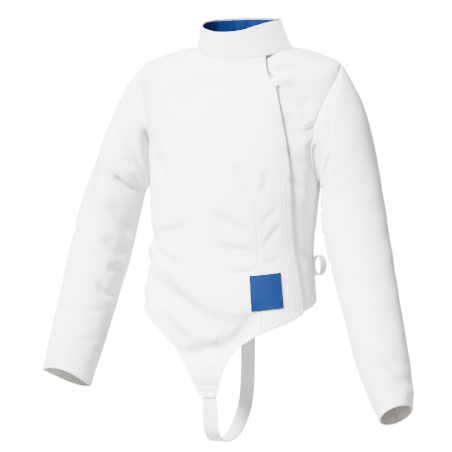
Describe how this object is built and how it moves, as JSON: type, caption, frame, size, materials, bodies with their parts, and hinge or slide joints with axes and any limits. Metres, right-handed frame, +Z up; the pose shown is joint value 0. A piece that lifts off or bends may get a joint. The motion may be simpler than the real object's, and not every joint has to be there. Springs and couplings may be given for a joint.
{
  "type": "fencing jacket",
  "caption": "Hollow white fencing jacket with two sleeves, a stand collar, an off-centre lapped zip front and an elastic strap between the legs",
  "frame": {"origin": "the middle of the neck at the level of the shoulders' highest points, where the wearer's shoulders hold the jacket up", "axes": "+Z up, -Y is the way the wearer faces, +X is the wearer's left"},
  "size_m": [0.657, 0.2422, 0.7233],
  "materials": {
    "white_cloth": "matte",
    "elastic": "matte",
    "blue_satin": "satin",
    "blue_label": "matte",
    "zip_tape": "matte",
    "white_enamel": "satin"
  },
  "bodies": {
    "jacket": {"right_front": "white_cloth", "left_front": "white_cloth", "back": "white_cloth", "right_sleeve_upper": "white_cloth", "right_sleeve_under": "white_cloth", "right_cuff": "white_cloth", "left_sleeve_upper": "white_cloth", "left_sleeve_under": "white_cloth", "left_cuff": "white_cloth", "collar": "white_cloth", "collar_lining": "blue_satin", "crotch_strap": "elastic", "label": "blue_label", "side_loop": "elastic", "zip_tape": "zip_tape", "zip_slider": "white_enamel"},
    "zip_pull": {"zip_pull": "white_enamel"}
  },
  "joints": [
    {"name": "zip_pull_hinge", "type": "hinge", "parent": "jacket", "child": "zip_pull", "pos_m": [0.0821, -0.07516, -0.04752], "axis": [-0.8258, -0.2794, -0.4899], "range_deg": [0, 80]}
  ]
}
